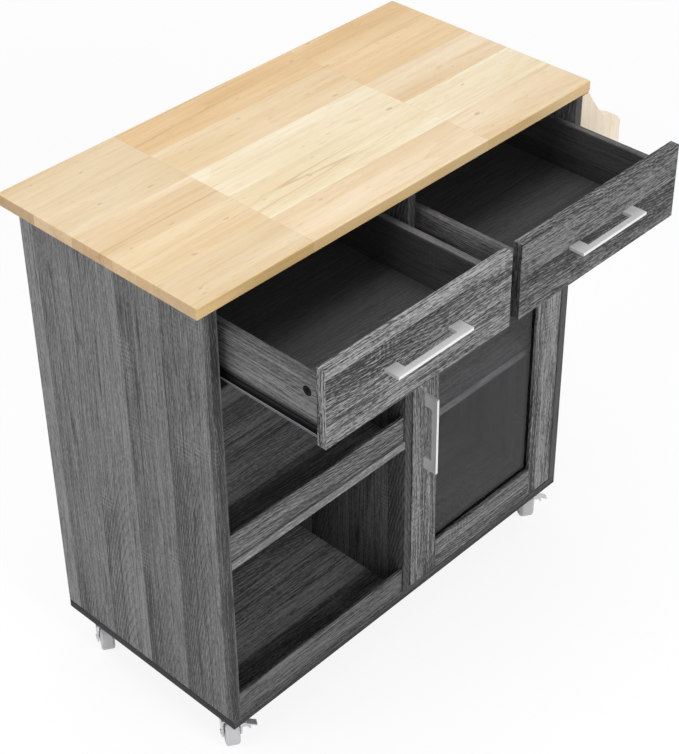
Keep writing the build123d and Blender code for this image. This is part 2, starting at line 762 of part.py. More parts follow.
def make_fork(frame, braked):
    """A pressed fork with its axle, and with lugs and a window for the pedal if it is braked."""
    with BuildPart() as fork:
        with BuildSketch(Plane(origin=frame.from_local_coords((0, 0, bridge_local)), x_dir=frame.x_dir)):
            Circle(crown_radius)
            with Locations(((fork_rear - fork_front) / 2, 0)):
                Rectangle(fork_rear + fork_front, 2 * arm_outer)
        extrude(amount=crown_thickness)
        for y in (arm_outer, -fork_gap / 2):
            with BuildSketch(side_view(frame, y)):
                with Locations((wheel_trail, z_axle)):
                    Circle(fork_end_radius)
                with Locations(((fork_rear - fork_front) / 2, bridge_local + crown_thickness / 2)):
                    Rectangle(fork_rear + fork_front, crown_thickness)
                make_hull()
            extrude(amount=fork_sheet)
        with BuildSketch(side_view(frame, arm_outer)):
            with Locations((wheel_trail, z_axle)):
                Circle(axle_radius)
        extrude(amount=2 * arm_outer)
        for y, way in ((arm_outer, -1), (-arm_outer, 1)):
            with BuildSketch(side_view(frame, y)):
                with Locations((wheel_trail, z_axle)):
                    Circle(axle_head_radius)
            extrude(amount=way * axle_head_height)
        with BuildSketch(Plane(origin=frame.from_local_coords((0, 0, bridge_local)), x_dir=frame.x_dir)):
            Circle(king_pin_radius + swivel_clear)
        extrude(amount=crown_thickness, mode=Mode.SUBTRACT)
        if braked:
            with BuildSketch(side_view(frame, arm_outer)):
                with Locations((wheel_trail, -(pedal_window_top + pedal_window_bottom) / 2)):
                    Rectangle(2 * lug_start, pedal_window_bottom - pedal_window_top)
            extrude(amount=fork_sheet, mode=Mode.SUBTRACT)
            for x in (wheel_trail - lug_start - pedal_lug, wheel_trail + lug_start):
                with BuildSketch(end_view(frame, x)):
                    with Locations(pedal_axis):
                        Circle(pedal_lug_radius)
                    with Locations((arm_outer - fork_sheet / 2, pedal_axis[1])):
                        Rectangle(fork_sheet, 2 * pedal_lug_radius)
                    make_hull()
                extrude(amount=pedal_lug)
            with BuildSketch(end_view(frame, wheel_trail - lug_start - pedal_lug)):
                with Locations(pedal_axis):
                    Circle(pedal_pin_radius)
            extrude(amount=2 * (lug_start + pedal_lug))
    return fork


def make_wheel(frame):
    """A moulded wheel with rounded shoulders, a shallow dish and a hub."""
    centre = frame.from_local_coords((wheel_trail, 0, z_axle))
    half_tread = wheel_width / 2
    half_hub = wheel_hub_width / 2
    bore = axle_radius + wheel_bore_gap
    with BuildPart() as wheel:
        with BuildSketch(Plane(origin=centre, x_dir=frame.y_dir, z_dir=frame.x_dir)):
            with BuildLine():
                Polyline(
                    (0, bore),
                    (half_hub, bore),
                    (half_hub, wheel_hub_radius - wheel_dish),
                    (half_tread - wheel_dish, wheel_hub_radius),
                    (half_tread - wheel_dish, wheel_rim - wheel_dish),
                    (half_tread, wheel_rim),
                    (half_tread, wheel_radius - wheel_shoulder),
                )
                RadiusArc(
                    (half_tread, wheel_radius - wheel_shoulder),
                    (half_tread - wheel_shoulder, wheel_radius),
                    -wheel_shoulder,
                )
                Polyline((half_tread - wheel_shoulder, wheel_radius), (0, wheel_radius), (0, bore))
            make_face()
            mirror(about=Plane.YZ)
        revolve(axis=Axis(centre, frame.y_dir))
    return wheel


def add_ear(frame, length, slope):
    """A flat ear of the pedal, from its pin outwards at a slope."""
    reach = length / 2
    with BuildSketch(end_view(frame, wheel_trail - half_pedal)) as outline:
        middle = (
            pedal_axis[0] + reach * cos(radians(slope)),
            pedal_axis[1] + reach * sin(radians(slope)),
        )
        with Locations(Location(middle, slope)):
            Rectangle(length, pedal_sheet)
    extrude(outline.sketch, amount=pedal_width)


def make_pedal(frame):
    """A pressed pedal: press ear, release ear and a toe that bears on the wheel's side."""
    with BuildPart() as pedal:
        with BuildSketch(end_view(frame, wheel_trail - half_pedal)):
            with Locations(pedal_axis):
                Circle(pedal_sleeve)
        extrude(amount=pedal_width)
        add_ear(frame, pedal_ear_length, pedal_ear_slope)
        add_ear(frame, pedal_release_length, pedal_release_slope)
        add_ear(frame, pedal_toe_length, pedal_toe_slope)
        with BuildSketch(end_view(frame, wheel_trail - half_pedal)):
            with Locations(pedal_axis):
                Circle(pedal_pin_radius + pedal_pin_gap)
        extrude(amount=pedal_width, mode=Mode.SUBTRACT)
    return pedal


for spot, (x, y) in caster_spots.items():
    frame = Plane(origin=(x, y, z_under), x_dir=trail_way)
    braked = spot.startswith("front")
    keep(make_fork(frame, braked), f"{spot}_fork")
    keep(make_wheel(frame), f"{spot}_wheel")
    if braked:
        keep(make_pedal(frame), f"{spot}_brake_pedal")
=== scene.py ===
"""Looks of the kitchen cart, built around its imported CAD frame."""

import bpy
from mathutils import Matrix, Vector

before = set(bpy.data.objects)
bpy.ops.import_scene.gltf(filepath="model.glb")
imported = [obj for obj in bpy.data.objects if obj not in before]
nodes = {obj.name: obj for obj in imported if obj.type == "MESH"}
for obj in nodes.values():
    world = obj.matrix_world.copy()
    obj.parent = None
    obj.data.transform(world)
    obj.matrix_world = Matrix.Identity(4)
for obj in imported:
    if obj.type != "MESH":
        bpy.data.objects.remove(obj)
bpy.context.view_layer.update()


# Node helpers
def put(socket, value):
    """Links a socket to another one, or sets its constant value."""
    if isinstance(value, bpy.types.NodeSocket):
        socket.id_data.links.new(value, socket)
    else:
        socket.default_value = value


def fill(node, values):
    """Sets a node's inputs in order, and gives its outputs."""
    for socket, value in zip(node.inputs, values):
        put(socket, value)
    return node.outputs


def calc(tree, operation, *values):
    """A math node's result."""
    node = tree.nodes.new("ShaderNodeMath")
    node.operation = operation
    return fill(node, values)["Value"]


def calc_vector(tree, operation, *values):
    """A vector math node's result: a number for a length, and a vector for the rest."""
    node = tree.nodes.new("ShaderNodeVectorMath")
    node.operation = operation
    return fill(node, values)["Value" if operation == "LENGTH" else "Vector"]


def noise(tree, vector, cycles, detail=2.0, roughness=0.5):
    """Noise with its own number of cycles per metre on each axis."""
    node = tree.nodes.new("ShaderNodeTexNoise")
    put(node.inputs["Vector"], calc_vector(tree, "MULTIPLY", vector, cycles))
    node.inputs["Scale"].default_value = 1.0
    node.inputs["Detail"].default_value = detail
    node.inputs["Roughness"].default_value = roughness
    return node.outputs["Fac"]


def even_noise(tree, vector, cycles, detail=2.0, roughness=0.5):
    """Noise with the same number of cycles per metre on all axes."""
    return noise(tree, vector, (cycles, cycles, cycles), detail, roughness)


def grain_noise(tree, vector, axis, across, along, detail=0.0, roughness=0.5):
    """Noise drawn out along an axis, by its cycles per metre across and along it."""
    cycles = tuple(along if part == axis else across for part in "xyz")
    return noise(tree, vector, cycles, detail, roughness)


def span(tree, value, low, high, to_low=0.0, to_high=1.0):
    """A value moved from one range to another, and held there."""
    node = tree.nodes.new("ShaderNodeMapRange")
    node.clamp = True
    return fill(node, (value, low, high, to_low, to_high))["Result"]


def swing(tree, value, reach):
    """Noise within a reach of its middle, moved to -0.5 to 0.5."""
    return span(tree, value, 0.5 - reach, 0.5 + reach, -0.5, 0.5)


def thin_lines(tree, value, core, rim):
    """One where noise crosses its middle, fading out from core to rim."""
    off_middle = calc(tree, "ABSOLUTE", calc(tree, "SUBTRACT", value, 0.5))
    return span(tree, off_middle, core, rim, 1.0, 0.0)


def ramp(tree, value, stops, blend="LINEAR"):
    """A colour ramp's colour."""
    node = tree.nodes.new("ShaderNodeValToRGB")
    node.color_ramp.interpolation = blend
    put(node.inputs[0], value)
    bands = node.color_ramp.elements
    bands.remove(bands[1])
    bands[0].position = stops[0][0]
    bands[0].color = (*stops[0][1], 1.0)
    for place, colour in stops[1:]:
        bands.new(place).color = (*colour, 1.0)
    return node.outputs[0]


def mix(tree, factor, first, second, blend="MIX"):
    """Two colours mixed."""
    node = tree.nodes.new("ShaderNodeMix")
    node.data_type = "RGBA"
    node.blend_type = blend
    put(node.inputs[0], factor)
    for socket, colour in ((node.inputs[6], first), (node.inputs[7], second)):
        put(socket, colour if isinstance(colour, bpy.types.NodeSocket) else (*colour, 1.0))
    return node.outputs[2]


def tint(tree, colour, by):
    """A colour multiplied by another one."""
    return mix(tree, 1.0, colour, by, "MULTIPLY")


def dim(tree, colour, level):
    """A colour brought down evenly to a level."""
    return tint(tree, colour, (level, level, level))


def split(tree, vector):
    """The three parts of a vector."""
    node = tree.nodes.new("ShaderNodeSeparateXYZ")
    return fill(node, (vector,))


def join(tree, x, y, z):
    """A vector from three parts."""
    node = tree.nodes.new("ShaderNodeCombineXYZ")
    return fill(node, (x, y, z))["Vector"]


def scatter(tree, x, y, z):
    """A random value for each whole-number place."""
    node = tree.nodes.new("ShaderNodeTexWhiteNoise")
    node.noise_dimensions = "3D"
    put(node.inputs["Vector"], join(tree, x, y, z))
    return node.outputs["Value"]


def start_group(name, inputs, outputs):
    """An empty node group, with its input's sockets and its output's."""
    tree = bpy.data.node_groups.new(name, "ShaderNodeTree")
    for label, kind in inputs:
        tree.interface.new_socket(name=label, in_out="INPUT", socket_type=f"NodeSocket{kind}")
    for label, kind in outputs:
        tree.interface.new_socket(name=label, in_out="OUTPUT", socket_type=f"NodeSocket{kind}")
    return tree, tree.nodes.new("NodeGroupInput").outputs, tree.nodes.new("NodeGroupOutput").inputs


def use_group(tree, group, *values):
    """A group's outputs, with its inputs set."""
    node = tree.nodes.new("ShaderNodeGroup")
    node.node_tree = group
    return fill(node, values)


# Printed planks, in metres: their width, how far apart their grain is taken, and how far it sways
plank_width = 0.085
plank_spread_across = 7.0
plank_spread_along = 3.0
sway_reach = 0.03
wobble_reach = 0.007

# Tone of a plank, and how much the planks differ in it
plank_tone = 0.475
plank_contrast = 0.20

# Growth rings: rings that an arch rises over a plank's width, and the heart's place in plank widths
rings_per_metre = 44.0
arch_rise = 9.0
ring_waver = 1.6
ring_sharpness = 2.5
heart_left, heart_right = -0.35, 0.1

# Saw marks: columns in a plank, metres between rungs, slant in rungs over a plank, and where ladders come
ladder_columns = 2.3
rung_spacing = 0.0075
rung_slant = 0.7
column_step = 0.61
ladders_per_metre = 11.0

# Worktop's staves, in metres
worktop_front = -0.19
stave_width = 0.08
stave_length = 0.354
stave_joint = -0.192
stave_spread = 9.0
seam_core, seam_rim = 0.0002, 0.0008
staves_per_row = 3


# Shared effects
def build_oak():
    """Laminate print of sawn oak planks, with the grain along Z: tone, pores and relief.

    The tone is a plank's own level plus its marks, each times a weight. Streaks, lines, flecks and grit are
    noise drawn out along the grain, rings are arches around a heart, and saw marks are ladders of rungs.
    """
    tree, given, result = start_group(
        "oak_print",
        [("Vector", "Vector"), ("Flecks", "Float"), ("Lines", "Float")],
        [("Tone", "Float"), ("Pores", "Float"), ("Relief", "Float")],
    )
    plain = given["Vector"]
    x, y, z = split(tree, plain)
    across = calc(tree, "DIVIDE", calc(tree, "ADD", x, y), plank_width)
    plank = calc(tree, "FLOOR", across)
    within = calc(tree, "FRACT", across)
    chance = scatter(tree, plank, 1.0, 2.0)
    other = scatter(tree, plank, 5.0, 3.0)
    # The grain sways along a plank, and each plank takes its grain from another place
    sway = calc(tree, "SUBTRACT", grain_noise(tree, plain, "z", 3.0, 0.9, detail=2.0), 0.5)
    wobble = calc(tree, "SUBTRACT", grain_noise(tree, plain, "z", 18.0, 2.6, detail=1.0), 0.5)
    shift = calc(tree, "MULTIPLY", sway, sway_reach)
    shift = calc(tree, "MULTIPLY_ADD", wobble, wobble_reach, shift)
    shift_across = calc(tree, "MULTIPLY_ADD", chance, plank_spread_across, shift)
    shift_along = calc(tree, "MULTIPLY", other, plank_spread_along)
    place = calc_vector(tree, "ADD", plain, join(tree, shift_across, shift, shift_along))
    streaks = swing(tree, grain_noise(tree, place, "z", 85.0, 1.6, detail=3.0, roughness=0.65), 0.16)
    lines = swing(tree, grain_noise(tree, place, "z", 640.0, 9.0, detail=1.0), 0.09)
    flecks = swing(tree, grain_noise(tree, place, "z", 760.0, 120.0), 0.10)
    grit = swing(tree, grain_noise(tree, place, "z", 1500.0, 330.0), 0.10)
    pores = span(tree, grain_noise(tree, place, "z", 700.0, 22.0, detail=1.0), 0.60, 0.68)
    veins = thin_lines(tree, grain_noise(tree, place, "z", 30.0, 1.2, detail=2.0), 0.003, 0.014)
    # Arches of growth rings, stronger towards one edge of a plank and shown in places only
    off_heart = calc(tree, "SUBTRACT", within, span(tree, chance, 0.0, 1.0, heart_left, heart_right))
    arch = calc(tree, "MULTIPLY", calc(tree, "POWER", off_heart, 2.0), arch_rise)
    arch = calc(tree, "MULTIPLY_ADD", z, rings_per_metre, arch)
    arch = calc(tree, "MULTIPLY_ADD", grain_noise(tree, place, "z", 20.0, 2.0, detail=2.0), ring_waver, arch)
    rings = calc(tree, "POWER", calc(tree, "FRACT", arch), ring_sharpness)
    arched = span(tree, grain_noise(tree, place, "z", 6.0, 2.2), 0.40, 0.52)
    arched = calc(tree, "MULTIPLY", arched, span(tree, within, 0.15, 0.8))
    rings = calc(tree, "MULTIPLY", rings, arched)
    shade = calc(tree, "POWER", within, 2.0)
    shade = calc(tree, "MULTIPLY", shade, span(tree, other, 0.0, 1.0, 0.3, 1.0))
    # Saw marks: ladders of short rungs across the grain, in narrow columns
    column_place = calc(tree, "MULTIPLY", across, ladder_columns)
    column = calc(tree, "FLOOR", column_place)
    phase = calc(tree, "MULTIPLY_ADD", within, rung_slant, scatter(tree, column, 2.0, 7.0))
    rung_place = calc(tree, "ADD", calc(tree, "DIVIDE", z, rung_spacing), phase)
    rungs = span(tree, calc(tree, "PINGPONG", rung_place, 0.5), 0.26, 0.40)
    sides = span(tree, calc(tree, "PINGPONG", column_place, 0.5), 0.06, 0.16)
    ladder_place = join(tree, calc(tree, "MULTIPLY", column, column_step), other, z)
    sawn = span(tree, noise(tree, ladder_place, (1.0, 1.0, ladders_per_metre), detail=0.0), 0.69, 0.76)
    ladders = calc(tree, "MULTIPLY", calc(tree, "MULTIPLY", rungs, sides), sawn)
    tone = calc(tree, "MULTIPLY_ADD", chance, plank_contrast, plank_tone)
    marks = (
        (streaks, 0.08),
        (lines, given["Lines"]),
        (flecks, given["Flecks"]),
        (grit, 0.12),
        (rings, -0.42),
        (shade, -0.26),
        (veins, -0.20),
        (ladders, 0.14),
    )
    for mark, weight in marks:
        tone = calc(tree, "MULTIPLY_ADD", mark, weight, tone)
    put(result["Tone"], span(tree, tone, 0.24, 0.76))
    put(result["Pores"], pores)
    put(result["Relief"], calc(tree, "MULTIPLY_ADD", pores, -0.5, tone))
    return tree


def build_staves():
    """Butcher block with staves along X: each one's number, chance and grain shift, and the glue lines."""
    tree, given, result = start_group(
        "staves",
        [("Vector", "Vector")],
        [("Number", "Float"), ("Chance", "Float"), ("Shift", "Vector"), ("Seam", "Float")],
    )
    x, y, _ = split(tree, given["Vector"])
    row_place = calc(tree, "DIVIDE", calc(tree, "SUBTRACT", y, worktop_front), stave_width)
    along = calc(tree, "DIVIDE", calc(tree, "SUBTRACT", x, stave_joint), stave_length)
    row = calc(tree, "FLOOR", row_place)
    piece = calc(tree, "ADD", calc(tree, "FLOOR", along), 1.0)
    chance = scatter(tree, row, piece, 1.0)
    other = scatter(tree, row, piece, 5.0)
    shift_along = calc(tree, "MULTIPLY", chance, stave_spread)
    shift_across = calc(tree, "MULTIPLY", other, stave_spread)
    seams = []
    for place, size in ((row_place, stave_width), (along, stave_length)):
        to_edge = calc(tree, "MULTIPLY", calc(tree, "PINGPONG", place, 0.5), size)
        seams.append(span(tree, to_edge, seam_core, seam_rim, 1.0, 0.0))
    put(result["Number"], calc(tree, "MULTIPLY_ADD", row, staves_per_row, piece))
    put(result["Chance"], chance)
    put(result["Shift"], join(tree, shift_along, shift_across, other))
    put(result["Seam"], calc(tree, "MAXIMUM", *seams))
    return tree


def build_light_grain():
    """Pale wood with the grain along X: tone, pores and relief."""
    tree, given, result = start_group(
        "pale_grain",
        [("Vector", "Vector")],
        [("Tone", "Float"), ("Pores", "Float"), ("Relief", "Float")],
    )
    plain = given["Vector"]
    sway = calc(tree, "SUBTRACT", grain_noise(tree, plain, "x", 9.0, 2.2, detail=2.0), 0.5)
    shift = calc(tree, "MULTIPLY", sway, 0.02)
    place = calc_vector(tree, "ADD", plain, join(tree, 0.0, shift, shift))
    broad = grain_noise(tree, place, "x", 26.0, 1.6, detail=2.0)
    streaks = grain_noise(tree, place, "x", 170.0, 5.0, detail=3.0, roughness=0.6)
    field = calc(tree, "MULTIPLY", grain_noise(tree, place, "x", 9.0, 0.7, detail=1.0), 13.0)
    rings = calc(tree, "POWER", calc(tree, "FRACT", field), ring_sharpness)
    pores = span(tree, grain_noise(tree, place, "x", 620.0, 34.0, detail=1.0), 0.63, 0.71)
    tone = calc(tree, "MULTIPLY", broad, 0.42)
    for mark, weight in ((streaks, 0.44), (rings, -0.10)):
        tone = calc(tree, "MULTIPLY_ADD", mark, weight, tone)
    put(result["Tone"], span(tree, tone, 0.26, 0.60))
    put(result["Pores"], pores)
    put(result["Relief"], calc(tree, "MULTIPLY_ADD", pores, -0.7, tone))
    return tree


def build_brushed():
    """Fine brushing on metal, by its cycles per metre on each axis: lines, and a soft cloud."""
    tree, given, result = start_group(
        "brushed",
        [("Vector", "Vector"), ("Scale", "Vector")],
        [("Lines", "Float"), ("Cloud", "Float")],
    )
    stretched = calc_vector(tree, "MULTIPLY", given["Vector"], given["Scale"])
    put(result["Lines"], even_noise(tree, stretched, 1.0, roughness=0.6))
    put(result["Cloud"], even_noise(tree, given["Vector"], 45.0, detail=3.0))
    return tree


oak_print = build_oak()
stave_layout = build_staves()
pale_grain = build_light_grain()
brushed_lines = build_brushed()

# Places on the drawers and their runners, in metres
drawer_middle = 0.18725
runner_web_top = 0.7185
runner_shadow_fade = 0.014
flange_bottom, flange_top = 0.7095, 0.7107
flange_fade = 0.001
flange_rim = 0.1720
flange_rim_width = 0.0004

# Colours
charcoal = (0.042, 0.058, 0.078)
drawer_greys = (0.045, 0.120, 0.220)
dark_pore = (0.020, 0.020, 0.021)
lining_pore = (0.008, 0.008, 0.008)
mark_brown = (0.46, 0.27, 0.12)
rack_pore = (0.52, 0.35, 0.19)
nickel = (0.94, 0.935, 0.93)
near_black = (0.008, 0.008, 0.009)

# How far apart the boards' grain is taken, in metres
board_spread = 40.0

# Levels of darker faces and of the painted shadow above the runner, and of the uneven shade on paint and
# metal
runner_shadow = 0.06
drawer_top_level = 0.6
uneven_level = 0.86

# Roughness of the oak print, and how much its dark and light grain differ from it
board_roughness = 0.52
lining_roughness = 0.5
dark_rougher, light_smoother = 0.08, 0.05


# Materials
def start_material(name):
    """A material with its node tree, shader and object coordinates."""
    material = bpy.data.materials.new(name)
    material.use_nodes = True
    tree = material.node_tree
    shader = tree.nodes["Principled BSDF"]
    coords = tree.nodes.new("ShaderNodeTexCoord")
    return material, tree, shader, coords


def own_place(tree, coords):
    """Object coordinates with a shift of their own for each piece, so that no two boards match."""
    info = tree.nodes.new("ShaderNodeObjectInfo")
    shift = calc(tree, "MULTIPLY", info.outputs["Random"], board_spread)
    return calc_vector(tree, "ADD", coords.outputs["Object"], join(tree, shift, shift, shift))


def add_bump(tree, shader, height, strength, distance):
    """Relief on a shader."""
    node = tree.nodes.new("ShaderNodeBump")
    node.inputs["Strength"].default_value = strength
    node.inputs["Distance"].default_value = distance
    put(node.inputs["Height"], height)
    put(shader.inputs["Normal"], node.outputs[0])


def add_roughness(tree, shader, value, smooth, rough):
    """Roughness from smooth to rough on a shader, by the middle values of noise."""
    put(shader.inputs["Roughness"], span(tree, value, 0.3, 0.7, smooth, rough))


turns = {"x": (2, 1, 0), "y": (0, 2, 1), "z": (0, 1, 2)}


def along_z(tree, vector, axis):
    """A vector with its parts exchanged, so that the chosen axis comes last."""
    parts = split(tree, vector)
    return join(tree, *[parts[i] for i in turns[axis]])


def face_mask(tree, coords, axis):
    """One on faces across an axis, nothing on the others."""
    across = split(tree, coords.outputs["Normal"])[axis.upper()]
    return span(tree, calc(tree, "ABSOLUTE", across), 0.6, 0.7)


def dim_faces(tree, coords, axis, colour, level):
    """A colour brought down to a level on the faces across an axis."""
    return mix(tree, face_mask(tree, coords, axis), colour, dim(tree, colour, level))


def grey_stops(greys):
    """Ramp stops of the print's dark, middle and light grey, a touch cool."""
    return [(i / (len(greys) - 1), (grey, grey, grey * 1.01)) for i, grey in enumerate(greys)]


def add_oak(tree, laid, greys, flecks, lines, pore_colour):
    """Oak print on a vector whose Z runs along the grain: colour and the print's outputs."""
    grain = use_group(tree, oak_print, laid, flecks, lines)
    colour = ramp(tree, grain["Tone"], grey_stops(greys))
    return mix(tree, calc(tree, "MULTIPLY", grain["Pores"], 0.55), colour, pore_colour), grain


def add_lining(tree, laid):
    """Charcoal oak print of the drawers' insides: colour and the print's outputs."""
    return add_oak(tree, laid, charcoal, 0.2, 0.3, lining_pore)


def finish_oak(tree, shader, colour, grain, roughness):
    """Colour, sheen and relief of an oak print on a shader."""
    rough, smooth = roughness + dark_rougher, roughness - light_smoother
    put(shader.inputs["Base Color"], colour)
    put(shader.inputs["Roughness"], span(tree, grain["Tone"], 0.0, 1.0, rough, smooth))
    shader.inputs["Specular IOR Level"].default_value = 0.3
    add_bump(tree, shader, grain["Relief"], strength=0.3, distance=0.0004)


def board_material(name, axis, band_axis, greys, flecks, lines, edges=()):
    """Oak-print board with its grain along an axis, edge bands on its ends, and darker edges if asked."""
    material, tree, shader, coords = start_material(name)
    place = own_place(tree, coords)
    band = face_mask(tree, coords, axis)
    laid = mix(tree, band, along_z(tree, place, axis), along_z(tree, place, band_axis))
    colour, grain = add_oak(tree, laid, greys, flecks, lines, dark_pore)
    for edge_axis, level in edges:
        colour = dim_faces(tree, coords, edge_axis, colour, level)
    finish_oak(tree, shader, colour, grain, board_roughness)
    return material


def drawer_side_material(name, inward):
    """Drawer side, grain along Y: charcoal inside, grey oak outside, with a painted shadow above the runner,
    and darker on top.
    """
    material, tree, shader, coords = start_material(name)
    laid = along_z(tree, own_place(tree, coords), "y")
    outside, grain = add_oak(tree, laid, drawer_greys, 0.18, 0.34, dark_pore)
    inside, _ = add_lining(tree, laid)
    across = split(tree, coords.outputs["Normal"])["X"]
    facing_in = span(tree, calc(tree, "MULTIPLY", across, inward), 0.5, 0.6)
    height = split(tree, coords.outputs["Object"])["Z"]
    # Painted shadow: the outer face fades dark just above the runner's web
    above_runner = span(tree, height, runner_web_top, runner_web_top + runner_shadow_fade)
    outside = mix(tree, above_runner, dim(tree, outside, runner_shadow), outside)
    outside = dim_faces(tree, coords, "z", outside, drawer_top_level)
    finish_oak(tree, shader, mix(tree, facing_in, outside, inside), grain, board_roughness)
    return material


def lining_material():
    """Plain charcoal laminate with its grain along X, for the drawers' floors and backs."""
    material, tree, shader, coords = start_material("lining")
    colour, grain = add_lining(tree, along_z(tree, own_place(tree, coords), "x"))
    finish_oak(tree, shader, colour, grain, lining_roughness)
    return material


# Worktop's stave colours, row by row from the front and each row from the left
stave_colours = {
    "cream": (0.90, 0.81, 0.61),
    "pale": (0.77, 0.62, 0.41),
    "pink": (0.82, 0.66, 0.45),
    "tan": (0.80, 0.63, 0.40),
    "honey": (0.80, 0.59, 0.34),
}
stave_rows = (
    ("pale", "pink", "pink"),
    ("tan", "cream", "cream"),
    ("pink", "cream", "pink"),
    ("pale", "tan", "honey"),
    ("pale", "honey", "honey"),
)

# Tints of a stave: warm to pale drifts, dark to light streaks, dark to light sawn ends, and the long edges
drift_tints = (0.93, 0.87, 0.77), (1.06, 1.09, 1.15)
streak_tints = [(0.0, (0.91, 0.85, 0.76)), (0.5, (0.98, 0.97, 0.95)), (1.0, (1.02, 1.03, 1.05))]
end_tints = (0.62, 0.51, 0.40), (0.92, 0.84, 0.74)
edge_tint = (1.10, 1.03, 0.82)

# Rack's wood from dark to light grain
rack_stops = [(0.0, (0.90, 0.74, 0.54)), (0.5, (0.96, 0.83, 0.65)), (1.0, (0.98, 0.89, 0.75))]


def rubberwood_material():
    """Worktop of pale staves, darker on its sawn ends and warmer on its long edges."""
    material, tree, shader, coords = start_material("rubberwood")
    place = coords.outputs["Object"]
    stave = use_group(tree, stave_layout, place)
    own = calc_vector(tree, "ADD", place, stave["Shift"])
    grain = use_group(tree, pale_grain, own)
    names = [name for row in stave_rows for name in row]
    turn = calc(tree, "DIVIDE", calc(tree, "ADD", stave["Number"], 0.5), len(names))
    stops = [(i / len(names), stave_colours[name]) for i, name in enumerate(names)]
    colour = ramp(tree, turn, stops, "CONSTANT")
    # Warm and pale drifts along each stave, then its streaks, veins, knots, pores and glue lines
    drift = span(tree, grain_noise(tree, own, "x", 15.0, 2.4, detail=3.0), 0.32, 0.68)
    colour = tint(tree, colour, mix(tree, drift, *drift_tints))
    colour = tint(tree, colour, ramp(tree, grain["Tone"], streak_tints))
    veins = thin_lines(tree, grain_noise(tree, own, "x", 13.0, 0.5, detail=2.0), 0.001, 0.008)
    veined = span(tree, grain_noise(tree, own, "x", 5.0, 2.0), 0.52, 0.62)
    knots = span(tree, grain_noise(tree, own, "x", 120.0, 45.0), 0.80, 0.86)
    marks = calc(tree, "MULTIPLY", calc(tree, "MULTIPLY", veins, veined), 0.45)
    for mark, strength in ((knots, 0.5), (grain["Pores"], 0.28), (stave["Seam"], 0.16)):
        marks = calc(tree, "MAXIMUM", marks, calc(tree, "MULTIPLY", mark, strength))
    colour = mix(tree, marks, colour, mark_brown)
    sawn = mix(tree, calc(tree, "MULTIPLY", stave["Seam"], 0.3), colour, mark_brown)
    sawn = tint(tree, sawn, mix(tree, stave["Chance"], *end_tints))
    colour = mix(tree, face_mask(tree, coords, "x"), colour, sawn)
    colour = mix(tree, face_mask(tree, coords, "y"), colour, tint(tree, colour, edge_tint))
    put(shader.inputs["Base Color"], colour)
    put(shader.inputs["Roughness"], span(tree, grain["Tone"], 0.0, 1.0, 0.5, 0.4))
    shader.inputs["Coat Weight"].default_value = 0.08
    shader.inputs["Coat Roughness"].default_value = 0.35
    add_bump(tree, shader, grain["Relief"], strength=0.2, distance=0.0004)
    return material


def pale_wood_material(name, axis):
    """Plain pale wood with its grain along an axis."""
    material, tree, shader, coords = start_material(name)
    parts = split(tree, own_place(tree, coords))
    order = {"y": (1, 0, 2), "z": (2, 0, 1)}[axis]
    grain = use_group(tree, pale_grain, join(tree, *[parts[i] for i in order]))
    colour = ramp(tree, grain["Tone"], rack_stops)
    colour = mix(tree, calc(tree, "MULTIPLY", grain["Pores"], 0.35), colour, rack_pore)
    put(shader.inputs["Base Color"], colour)
    shader.inputs["Roughness"].default_value = 0.42
    add_bump(tree, shader, grain["Relief"], strength=0.2, distance=0.0005)
    return material


def uneven(tree, cloud, colour):
    """A colour with a slightly darker one in clouds."""
    return mix(tree, cloud, tuple(part * uneven_level for part in colour), colour)


def metal_material(name, colour, brushing, smooth, rough, metallic):
    """Brushed metal, by its brushing's cycles per metre on each axis."""
    material, tree, shader, coords = start_material(name)
    brushed = use_group(tree, brushed_lines, coords.outputs["Object"], brushing)
    put(shader.inputs["Base Color"], uneven(tree, brushed["Cloud"], colour))
    shader.inputs["Metallic"].default_value = metallic
    add_roughness(tree, shader, brushed["Lines"], smooth, rough)
    add_bump(tree, shader, brushed["Lines"], strength=0.08, distance=0.0002)
    return material


def coated_material(name, colour, roughness, grit, coat=0.0, sheen=0.5):
    """Paint, plastic or rubber with a fine grit, by its cycles per metre, and a little unevenness."""
    material, tree, shader, coords = start_material(name)
    place = coords.outputs["Object"]
    cloud = even_noise(tree, place, 60.0, detail=3.0)
    put(shader.inputs["Base Color"], uneven(tree, cloud, colour))
    add_roughness(tree, shader, cloud, roughness - 0.05, roughness + 0.05)
    shader.inputs["Coat Weight"].default_value = coat
    shader.inputs["Specular IOR Level"].default_value = sheen
    add_bump(tree, shader, even_noise(tree, place, grit), strength=0.12, distance=0.0002)
    return material


def drawer_runner_material():
    """Drawer runner: black web as painted shade above the flange, a painted highlight along the flange's
    up-facing rim, and bare grey steel below it.
    """
    material, tree, shader, coords = start_material("drawer_runner")
    place = coords.outputs["Object"]
    x, _, height = split(tree, place)
    # Painted highlight: the up-facing faces of the flange's rim are lighter, as if lit from above
    up = span(tree, split(tree, coords.outputs["Normal"])["Z"], 0.6, 0.7)
    low = span(tree, height, flange_top, flange_top + flange_fade, 1.0, 0.0)
    from_middle = calc(tree, "SUBTRACT", calc(tree, "ABSOLUTE", x), drawer_middle)
    rim = span(tree, calc(tree, "ABSOLUTE", from_middle), flange_rim - flange_rim_width, flange_rim)
    shine = calc(tree, "MULTIPLY", calc(tree, "MULTIPLY", up, low), rim)
    cloud = grain_noise(tree, place, "y", 200.0, 25.0, detail=3.0)
    steel = mix(tree, cloud, (0.12, 0.12, 0.122), (0.17, 0.17, 0.172))
    painted_highlight = mix(tree, cloud, (0.34, 0.34, 0.34), (0.48, 0.48, 0.48))
    # Painted shade: the web above the flange is near black, standing in for the shade between drawer side
    # and flange
    colour = mix(tree, span(tree, height, flange_bottom, flange_top), steel, near_black)
    put(shader.inputs["Base Color"], mix(tree, shine, colour, painted_highlight))
    shader.inputs["Specular IOR Level"].default_value = 0.15
    add_roughness(tree, shader, cloud, smooth=0.38, rough=0.52)
    return material


